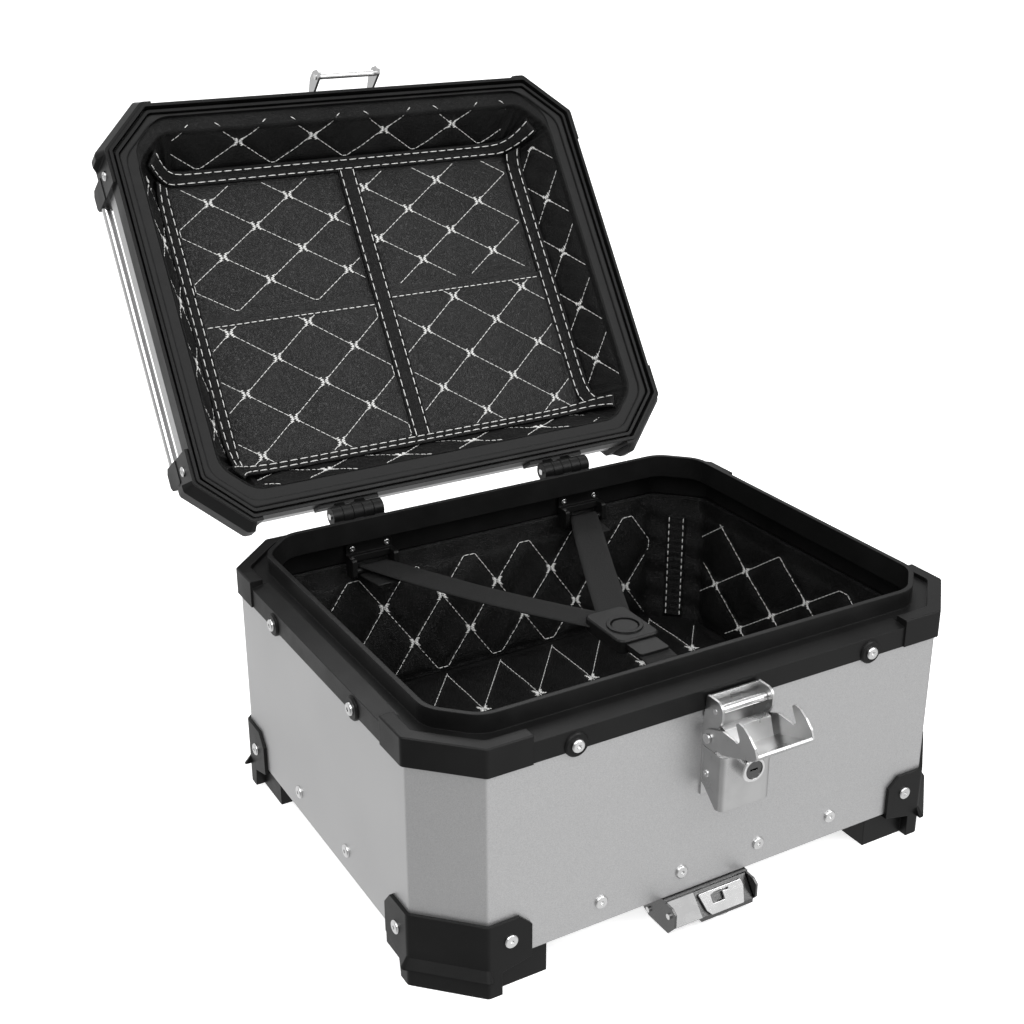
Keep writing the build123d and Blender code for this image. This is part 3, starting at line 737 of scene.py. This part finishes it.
def lining_z(x, y):
    """Height of the lid lining's mean surface, closed, with a rounded fold round the panel."""
    soft = 2.0 * MM
    over = (-WALL_FOLD - inset(x, y)) / soft
    drop = soft * (log(1 + exp(over)) if over < 30 else over)
    return max(flange_z - 4 * MM, panel_z - drop * RISE / RUN)


def lining_place(x, y, lift):
    """Point above the lid lining and the normal there."""
    d = 0.5 * MM
    slope_x = (lining_z(x + d, y) - lining_z(x - d, y)) / (2 * d)
    slope_y = (lining_z(x, y + d) - lining_z(x, y - d)) / (2 * d)
    normal = Vector((slope_x, slope_y, -1.0)).normalized()
    point = Vector((x, y, lining_z(x, y))) + normal * lift
    return opened(point), opened(normal) - opened((0, 0, 0))


def walk(x, y, direction, distance):
    """Goes a distance over the lining from a point; direction is in plan."""
    steps = 5
    for _ in range(steps):
        d = 0.3 * MM
        rate = (lining_z(x + direction.x * d, y + direction.y * d) - lining_z(x, y)) / d
        step = distance / steps / hypot(1.0, rate)
        x += direction.x * step
        y += direction.y * step
    return x, y


def lid_tape(name, corners, stitches, base_lift):
    """Double-stitched tape over the lid lining along a path in plan."""
    path = []
    for a, b in zip(corners, corners[1:]):
        a, b = Vector(a), Vector(b)
        steps = max(1, round((b - a).length / TAPE_STEP))
        path += [a.lerp(b, k / steps) for k in range(steps)]
    path.append(Vector(corners[-1]))
    for _ in range(TAPE_ROUNDING):
        path = [path[0]] + [(a + b * 2 + c) / 4 for a, b, c in zip(path, path[1:], path[2:])] + [path[-1]]
    columns = 9
    sections = []
    rows = {-1: [], 1: []}
    for index, spot in enumerate(path):
        ahead = path[min(index + 1, len(path) - 1)] - path[max(index - 1, 0)]
        side = Vector((-ahead.y, ahead.x)).normalized()
        borders = [walk(spot.x, spot.y, turn, TAPE_HALF) for turn in (side, -side)]
        if min(lining_z(x, y) for x, y in borders) < TAPE_LOW:
            continue
        top, low = [], []
        for k in range(columns):
            across = TAPE_HALF * (2 * k / (columns - 1) - 1)
            x, y = walk(spot.x, spot.y, side if across > 0 else -side, abs(across))
            edge = abs(across) / TAPE_HALF
            crown = TAPE_CROWN * (1 - edge**4)
            groove = TAPE_PUCKER * exp(-((abs(across) - STITCH_OUT) / MM) ** 2)
            pucker = TAPE_PUCKER * sin(index * 1.15) * edge**2 - groove
            top.append(lining_place(x, y, base_lift + crown + pucker)[0])
            low.append(lining_place(x, y, base_lift - TAPE_THICK)[0])
        sections.append(top + low[::-1])
        for turn, row in rows.items():
            x, y = walk(spot.x, spot.y, side * turn, STITCH_OUT)
            row.append(lining_place(x, y, base_lift + TAPE_STITCH_LIFT))
    ribbon(name, sections, TAPE, "lid")
    for row in rows.values():
        stitches.along(row)


def lid_lining():
    """Panel, walls, their stitching, the pockets' hems and the seam tapes, which lie over one another."""
    hem_seam = {"pitch": 6.5 * MM, "gap": 1.6 * MM, "radius": 0.45 * MM}
    lid_panel()
    lid_wall()
    panel_thread = Stitches()
    for lattice in LID_LATTICES:
        lattice.stitch(panel_thread, panel_place)
    for low_x, high_x in ((-0.160, -0.006), (0.011, 0.161)):
        y = hem_line(high_x) + 1.5 * MM
        panel_thread.seam(panel_place, (low_x, y), (high_x, y), **hem_seam)
    side_lift = 2.2 * MM
    lid_tape("lid_tape_left", [(-0.169, -0.124), (-0.169, 0.127)], panel_thread, side_lift)
    lid_tape("lid_tape_right", [(0.170, -0.124), (0.170, 0.127)], panel_thread, side_lift)
    lid_tape("lid_tape_middle", [(0.0025, -0.125), (0.0025, 0.128)], panel_thread, side_lift + 0.8 * MM)
    for name, y, out in (("front", -0.1300, -1), ("rear", 0.1330, 1)):
        corner = [(-0.189, y + out * 0.012), (-0.178, y + out * 0.003), (-0.166, y)]
        path = corner + [(-x, v) for x, v in reversed(corner)]
        lid_tape("lid_tape_" + name, path, panel_thread, side_lift + 1.6 * MM)
    panel_thread.object("lid_panel_thread", "lid")
    wall_thread = Stitches()
    for side, lattice in WALL_LATTICES.items():
        lattice.stitch(wall_thread, side_place(side))
    wall_thread.object("lid_wall_thread", "lid")


# ---- quilted lining of the body ----------------------------------------
WALL_FACE = 0.3 * MM  # how far the lining's mean face stands off its solid
WALL_BACK = -4.5 * MM  # the lining's back, from its mean face
WALL_RADIUS = 0.014  # the lining's corner radius
FLOOR_SINK, FLOOR_BACK = 2.2 * MM, 4.6 * MM  # floor pad: face under the floor's height, height of its back
BACK_LATTICE = diamonds((-0.172, 0.172, 0.012, 0.110), (-0.0085, 0.0425), 0.0262, 0.0373)
END_LATTICE = Lattice((-0.130, 0.147, 0.013, 0.112), (0.109, 0.0537), (-0.0361, -0.0270), (-0.0410, 0.0295))
BODY_LATTICES = {"rear": BACK_LATTICE, "front": BACK_LATTICE, "left": END_LATTICE, "right": END_LATTICE}
FLOOR_LATTICE = Lattice((-0.198, 0.198, -0.152, 0.157), (-0.036, 0.155), (0.0, -0.064), (-0.0515, -0.064))


def body_puff(point, side, z):
    """Quilting and creases of the body's walls; corners are gathered instead of quilted."""
    if side == "corner":
        gathers = 0.6 * sin(z * 260 + point.x * 90)
        return (0.9 + gathers + 0.4 * smooth_noise(z * 60, point.y * 60, 5.0)) * MM
    along = point.x if side in ("front", "rear") else point.y
    quilting = 2.4 * MM * BODY_LATTICES[side].puff(along, z, 4 * MM)
    return quilting + 0.9 * MM * smooth_noise(along * 35, z * 35, 7.0)


def body_point(flat, angle, z, height):
    """Point of the upright lining; height is inwards from its mean face."""
    stand = height + WALL_FACE
    return Vector((flat.x - cos(angle) * stand, flat.y - sin(angle) * stand, z))


def body_place(side):
    """Place function of one straight wall of the body."""
    angle = {"right": 0.0, "rear": pi / 2, "left": pi, "front": -pi / 2}[side]
    out = Vector((cos(angle), sin(angle)))

    def place(u, z):
        reach = (box_x if side in ("left", "right") else box_y) + liner_in
        flat = (Vector((u, 0.0)) if side in ("front", "rear") else Vector((0.0, u))) + out * reach
        return body_point(flat, angle, z, body_puff(flat, side, z)), Vector((-out.x, -out.y, 0.0))

    return place


def body_wall():
    """Closed band round the inside of the body."""
    rows = 64
    low = liner_low - 4 * MM
    face, back = [], []
    loop = box_loop(liner_in, WALL_RADIUS)
    for flat, angle, side in loop:
        for row in range(rows):
            z = low + (liner_top - low) * row / (rows - 1)
            face.append(body_point(flat, angle, z, body_puff(flat, side, z)))
            back.append(body_point(flat, angle, z, WALL_BACK))
    faces = ring_faces(len(loop), rows)
    wall = make("body_wall_quilt", face + back, faces, BODY_LEATHER, "root")
    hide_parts("body_liner")


def floor_place(x, y):
    """Point and normal on the floor pad."""
    height = 2.2 * MM * FLOOR_LATTICE.puff(x, y, 6 * MM) + 0.5 * MM * smooth_noise(x * 30, y * 30, 3.0)
    return Vector((x, y, liner_low - FLOOR_SINK + height)), Vector((0.0, 0.0, 1.0))


def body_floor():
    """Quilted floor pad: a closed slab with the wall lining's outline."""
    step = 2.5 * MM
    half_x, half_y = box_x + liner_in - 0.5 * MM, box_y + liner_in - 0.5 * MM
    cut = box_cut + liner_in * CUT_GROWTH
    nx, ny = int(2 * half_x / step), int(2 * half_y / step)
    top, low = [], []
    for i in range(nx + 1):
        for j in range(ny + 1):
            x, y = -half_x + 2 * half_x * i / nx, half_y - 2 * half_y * j / ny
            over = abs(x) + abs(y) - (half_x + half_y - cut)
            if over > 0:
                x -= over / 2 * (1 if x > 0 else -1)
                y -= over / 2 * (1 if y > 0 else -1)
            top.append(floor_place(x, y)[0])
            low.append(Vector((x, y, FLOOR_BACK)))
    faces = slab_faces(nx + 1, ny + 1)
    pad = make("body_floor_quilt", top + low, faces, BODY_LEATHER, "root")
    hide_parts("liner_floor")


def corner_tapes(stitches):
    """Double-stitched tape up each corner of the body lining."""
    half, rows_out = 8.5 * MM, 6.2 * MM
    reach = (box_x + box_y + 2 * liner_in - box_cut - liner_in * CUT_GROWTH) / ROOT_TWO
    middle = (box_x - box_y) / ROOT_TWO
    low, high, steps = liner_low + 1 * MM, 0.108, 60
    stitch_lift = 2.9 * MM
    for sx in (-1, 1):
        for sy in (-1, 1):
            out = Vector((sx, sy)) / ROOT_TWO
            along = Vector((sx, -sy)) / ROOT_TWO

            def spot(across, z, lift):
                flat = out * (reach - lift) + along * (middle + across)
                return Vector((flat.x, flat.y, z))

            sections = []
            for k in range(steps + 1):
                z = low + (high - low) * k / steps
                columns = [half * (2 * c / 8 - 1) for c in range(9)]
                top = [spot(a, z, (3.4 - 1.0 * (a / half) ** 2 + 0.3 * sin(k * 1.7)) * MM) for a in columns]
                back = [spot(a, z, 1.0 * MM) for a in reversed(columns)]
                sections.append(top + back)
            ribbon(f"body_tape_{sx + 1}{sy + 1}", sections, BODY_TAPE, "root")
            normal = Vector((-out.x, -out.y, 0.0))
            for across in (-rows_out, rows_out):
                zs = [low + (high - low) * k / steps for k in range(steps + 1)]
                line = [(spot(across, z, stitch_lift), normal) for z in zs]
                stitches.along(line, pitch=6.5 * MM, gap=2.2 * MM)


def body_lining():
    body_wall()
    body_floor()
    thread = Stitches()
    for side, lattice in BODY_LATTICES.items():
        lattice.stitch(thread, body_place(side))
    corner_tapes(thread)
    thread.object("body_wall_thread", "root")
    floor_thread = Stitches()
    FLOOR_LATTICE.stitch(floor_thread, floor_place)
    floor_thread.object("body_floor_thread", "root")


# ---- straps ----------------------------------------
STRAP_W, STRAP_T = 25.0 * MM, 1.4 * MM
bar = {"x": 0.098, "y": 0.156, "z": 0.1225, "r": 2.4 * MM}
buckle_y, buckle_z = -0.052, 0.133


def strap(name, node, points, sides):
    """Flat webbing through given points; sides are the directions of its width at each."""
    fine = []
    for k in range(len(points) - 1):
        p0 = points[max(0, k - 1)]
        p3 = points[min(len(points) - 1, k + 2)]
        steps = max(3, int((points[k + 1] - points[k]).length / (3 * MM)))
        for s in range(steps):
            t = s / steps
            a = points[k]
            b = points[k + 1]
            spot = 0.5 * (
                2 * a + (b - p0) * t + (2 * p0 - 5 * a + 4 * b - p3) * t**2 + (3 * a - p0 - 3 * b + p3) * t**3
            )
            fine.append((spot, sides[k].lerp(sides[k + 1], t).normalized()))
    fine.append((points[-1], sides[-1]))
    columns = 9
    sections = []
    walked = [0.0]
    for k, (spot, side) in enumerate(fine):
        ahead = fine[min(k + 1, len(fine) - 1)][0] - fine[max(k - 1, 0)][0]
        up = side.cross(ahead).normalized()
        if k:
            walked.append(walked[-1] + (spot - fine[k - 1][0]).length)
        top, low = [], []
        for c in range(columns):
            across = (c / (columns - 1) - 0.5) * STRAP_W
            thin = STRAP_T / 2 * (1 - 0.35 * abs(2 * c / (columns - 1) - 1) ** 6)
            cup = 0.5 * MM * (1 - (2 * across / STRAP_W) ** 2)
            top.append(spot + side * across + up * (thin + cup))
            low.append(spot + side * across - up * (thin - cup))
        sections.append(top + low[::-1])
    obj = ribbon(name, sections, WEBBING, "root")
    mesh = obj.data
    layer = mesh.uv_layers.new(name="UVMap")
    count = 2 * columns
    for loop in mesh.loops:
        row, column = divmod(loop.vertex_index, count)
        across = column if column < columns else count - 1 - column
        layer.data[loop.index].uv = (across / (columns - 1) * STRAP_W * 10, walked[row] * 10)
    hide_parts(node)


def straps():
    """Each strap goes round its bracket's bar and back under itself, and runs to the buckle."""
    x_side = Vector((1.0, 0.0, 0.0))
    wrap = bar["r"] + STRAP_T / 2 + 0.2 * MM           # radius of the webbing's middle round a bar
    for name, side in (("left", -1), ("right", 1)):
        start = Vector((side * bar["x"], bar["y"], bar["z"]))
        end = Vector((side * 7.0 * MM, buckle_y + 24 * MM, buckle_z))
        run = (end - start).normalized()
        across = run.cross(Vector((0.0, 0.0, 1.0))).normalized()
        flat = across if across.x > 0 else -across
        tail = start + Vector((-side * 3 * MM, -28 * MM, -2.6 * MM))
        points = [tail, start + Vector((0, -6 * MM, -wrap))]
        sides = [x_side, x_side]
        for angle in (-90, -30, 30, 90):
            points.append(start + Vector((0, wrap * cos(radians(angle)), wrap * sin(radians(angle)))))
            sides.append(x_side)
        for t in (0.08, 0.25, 0.5, 0.75, 0.92, 1.0):
            sag = -3.0 * MM * sin(pi * t)
            points.append(start.lerp(end, t) + Vector((0, 0, sag + (1 - t) * wrap)))
            sides.append(x_side.lerp(flat, min(1.0, t * 5)).normalized())
        strap("strap_webbing_" + name, "strap_" + name, points, sides)
    front = Vector((0.0, -bar["y"], bar["z"]))
    points = [
        Vector((0.0, buckle_y - 37 * MM, buckle_z)),
        Vector((0.0, buckle_y - 50 * MM, buckle_z - 1.5 * MM)),
        front + Vector((0, 10 * MM, wrap + 1.0 * MM)),
    ]
    for angle in (90, 150, 210, 270):
        points.append(front + Vector((0, wrap * cos(radians(angle)), wrap * sin(radians(angle)))))
    points += [front + Vector((0, 6 * MM, -wrap)), front + Vector((0, 28 * MM, -2.6 * MM))]
    strap("strap_webbing_front", "strap_front", points, [x_side] * len(points))


# ---- studio ----------------------------------------
FLOOR_Z = -0.024  # plane of the feet
FLOOR_HALF = 40.0
FLOOR_GLOW = 0.6
DARK_DIRECTION = (-0.90, -0.42, 0.0)  # surroundings are darkest this way and opposite
BRIGHTEST, DARKEST = 0.85, 0.26
CAMERA_PLACE = (-0.5425, -0.8353, 0.6245)
CAMERA_AZIMUTH, CAMERA_ELEVATION, CAMERA_ROLL = -30.063, 22.193, -0.042
CAMERA_LENS, SHIFT_X, SHIFT_Y = 52.88, -0.0035, -0.0161


def surroundings(scene):
    """Soft grey studio, darkest both ways along DARK_DIRECTION, brightest across it, white to the eye."""
    world = bpy.data.worlds.new("studio")
    world.use_nodes = True
    tree = world.node_tree
    background = tree.nodes["Background"]
    background.inputs["Color"].default_value = (1.0, 1.0, 1.0, 1.0)
    scene.world = world

    def calculate(operation, first, second=None):
        node = tree.nodes.new("ShaderNodeMath")
        node.operation = operation
        for socket, value in zip(node.inputs, (first, second)):
            if hasattr(value, "links"):
                tree.links.new(value, socket)
            elif value is not None:
                socket.default_value = value
        return node.outputs["Value"]

    coords = tree.nodes.new("ShaderNodeTexCoord")
    dot = tree.nodes.new("ShaderNodeVectorMath")
    dot.operation = "DOT_PRODUCT"
    dot.inputs[1].default_value = DARK_DIRECTION
    tree.links.new(coords.outputs["Generated"], dot.inputs[0])
    square = calculate("MULTIPLY", dot.outputs["Value"], dot.outputs["Value"])
    level = calculate("ADD", calculate("MULTIPLY", square, DARKEST - BRIGHTEST), BRIGHTEST)
    light_path = tree.nodes.new("ShaderNodeLightPath")
    seen = calculate("MAXIMUM", level, light_path.outputs["Is Camera Ray"])
    tree.links.new(seen, background.inputs["Strength"])


def studio():
    """Pale floor, surroundings, lamps and the camera."""
    scene = bpy.context.scene
    scene.view_settings.view_transform = "Standard"
    mesh = bpy.data.meshes.new("floor")
    corners = [(x * FLOOR_HALF, y * FLOOR_HALF, FLOOR_Z) for x, y in ((-1, -1), (1, -1), (1, 1), (-1, 1))]
    mesh.from_pydata(corners, [], [(0, 1, 2, 3)])
    floor_obj = bpy.data.objects.new("floor", mesh)
    white = new_material("floor_white", grey(0.92), 0.9, Specular_IOR_Level=0.1)
    shader = white.node_tree.nodes["Principled BSDF"]
    shader.inputs["Emission Color"].default_value = (1.0, 1.0, 1.0, 1.0)
    shader.inputs["Emission Strength"].default_value = FLOOR_GLOW
    mesh.materials.append(white)
    scene.collection.objects.link(floor_obj)
    floor_obj.visible_glossy = False
    floor_obj.visible_diffuse = False

    surroundings(scene)

    def lamp(name, kind, energy, place, target, **values):
        data = bpy.data.lights.new(name, kind)
        data.energy = energy
        for key, value in values.items():
            setattr(data, key, value)
        obj = bpy.data.objects.new(name, data)
        obj.location = place
        obj.rotation_euler = (Vector(target) - Vector(place)).to_track_quat("-Z", "Y").to_euler()
        scene.collection.objects.link(obj)

    middle = (0.0, 0.05, 0.2)
    lamp("overall", "SUN", 0.9, (-1.0, -2.0, 4.0), middle, angle=radians(60))
    lamp("key", "AREA", 17, (-1.5, -1.3, 1.9), middle, shape="RECTANGLE", size=1.4, size_y=1.4)
    lamp("fill", "AREA", 16, (1.05, -1.45, 1.45), middle, shape="RECTANGLE", size=0.9, size_y=1.2)
    lamp("back", "AREA", 16, (0.6, 1.6, 1.9), middle, shape="RECTANGLE", size=1.8, size_y=1.0)

    data = bpy.data.cameras.new("camera")
    data.lens = CAMERA_LENS
    data.sensor_width = 36.0
    data.shift_x = SHIFT_X
    data.shift_y = SHIFT_Y
    data.clip_end = 200.0
    camera = bpy.data.objects.new("camera", data)
    azimuth, elevation = radians(CAMERA_AZIMUTH), radians(CAMERA_ELEVATION)
    back = Vector((sin(azimuth) * cos(elevation), -cos(azimuth) * cos(elevation), sin(elevation)))
    turn = back.to_track_quat("Z", "Y").to_matrix() @ Matrix.Rotation(radians(CAMERA_ROLL), 3, "Z")
    camera.matrix_world = Matrix.Translation(CAMERA_PLACE) @ turn.to_4x4()
    scene.collection.objects.link(camera)
    scene.camera = camera


finish_nodes()
lid_lining()
body_lining()
straps()
studio()
